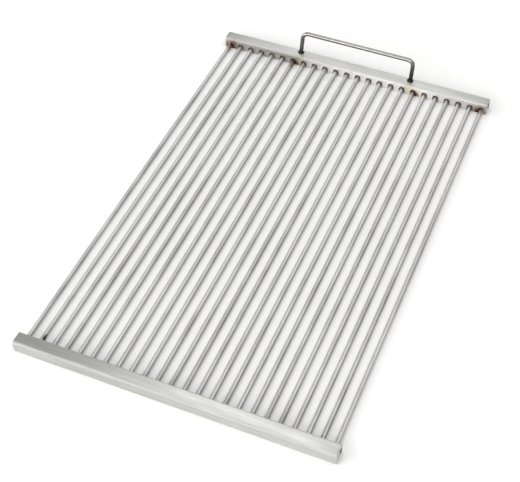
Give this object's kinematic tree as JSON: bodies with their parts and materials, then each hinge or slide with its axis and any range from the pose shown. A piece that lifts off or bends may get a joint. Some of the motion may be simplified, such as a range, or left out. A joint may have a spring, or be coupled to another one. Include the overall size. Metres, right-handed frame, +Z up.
{
  "type": "cooking grate",
  "caption": "Stainless steel cooking grate: parallel round rods welded between folded end rails, with a bent-rod lifting handle standing on the rear rail.",
  "frame": {"origin": "on the resting surface, under the middle of the whole grate with its handle", "axes": "+X along the rails to the right, +Y along the rods from the plain front rail to the handle rail, +Z up"},
  "size_m": [0.34, 0.5426, 0.0419],
  "materials": {
    "rod_steel": "cold-drawn stainless rod, bright with fine lengthwise draw lines",
    "rail_steel": "stainless sheet with a fine brushed grain along the rail, folded, with heat tint near the welds",
    "handle_steel": "stainless rod, bent cold, duller and darker than the grate's rods, heat-tinted near the feet",
    "weld_metal": "rippled weld bead left dark and unpolished"
  },
  "bodies": {
    "root": {"rod_01": "rod_steel", "rod_02": "rod_steel", "rod_03": "rod_steel", "rod_04": "rod_steel", "rod_05": "rod_steel", "rod_06": "rod_steel", "rod_07": "rod_steel", "rod_08": "rod_steel", "rod_09": "rod_steel", "rod_10": "rod_steel", "rod_11": "rod_steel", "rod_12": "rod_steel", "rod_13": "rod_steel", "rod_14": "rod_steel", "rod_15": "rod_steel", "rod_16": "rod_steel", "rod_17": "rod_steel", "rod_18": "rod_steel", "rod_19": "rod_steel", "rod_20": "rod_steel", "rod_21": "rod_steel", "rod_22": "rod_steel", "rod_23": "rod_steel", "rod_24": "rod_steel", "front_rail": "rail_steel", "rear_rail": "rail_steel", "handle": "handle_steel", "handle_weld_left": "weld_metal", "handle_weld_right": "weld_metal", "front_rod_welds": "weld_metal", "rear_rod_welds": "weld_metal", "front_tack_welds": "weld_metal", "rear_tack_welds": "weld_metal"}
  },
  "joints": []
}
